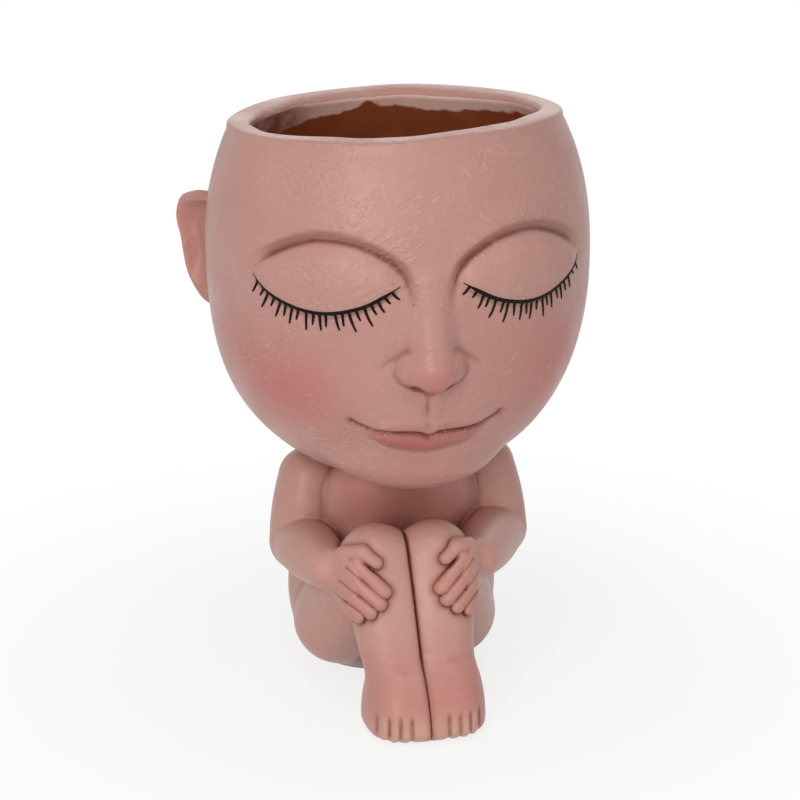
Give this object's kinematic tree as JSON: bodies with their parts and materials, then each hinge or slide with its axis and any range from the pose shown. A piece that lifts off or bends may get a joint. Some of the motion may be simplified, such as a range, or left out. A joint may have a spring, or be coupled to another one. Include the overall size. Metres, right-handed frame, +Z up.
{
  "type": "head planter",
  "caption": "Cast resin planter: a hollow head with closed eyes is the pot, on a small seated figure that hugs its knees, with a stoppered drain through the seat.",
  "frame": {"origin": "on the ground, at the middle of the part's bounding box", "axes": "+Z up, the figure looks along -Y, its left side is at +X"},
  "size_m": [0.123, 0.1198, 0.1775],
  "materials": {
    "painted_resin": "hand-painted flesh pink with a satin face, rosy blushes and a brown wash in the creases; raw dark brown inside the pot",
    "tube_plastic": "plain extruded",
    "stopper_rubber": "matt silicone"
  },
  "bodies": {
    "planter": {"head_pot": "painted_resin", "left_ear": "painted_resin", "right_ear": "painted_resin", "torso": "painted_resin", "left_arm": "painted_resin", "right_arm": "painted_resin", "left_leg": "painted_resin", "right_leg": "painted_resin", "drain_tube": "tube_plastic"},
    "plug": {"drain_plug": "stopper_rubber"}
  },
  "joints": [
    {"name": "plug_pull", "type": "slide", "parent": "planter", "child": "plug", "axis": [0, 0, -1], "range_m": [0, 0.02]}
  ]
}
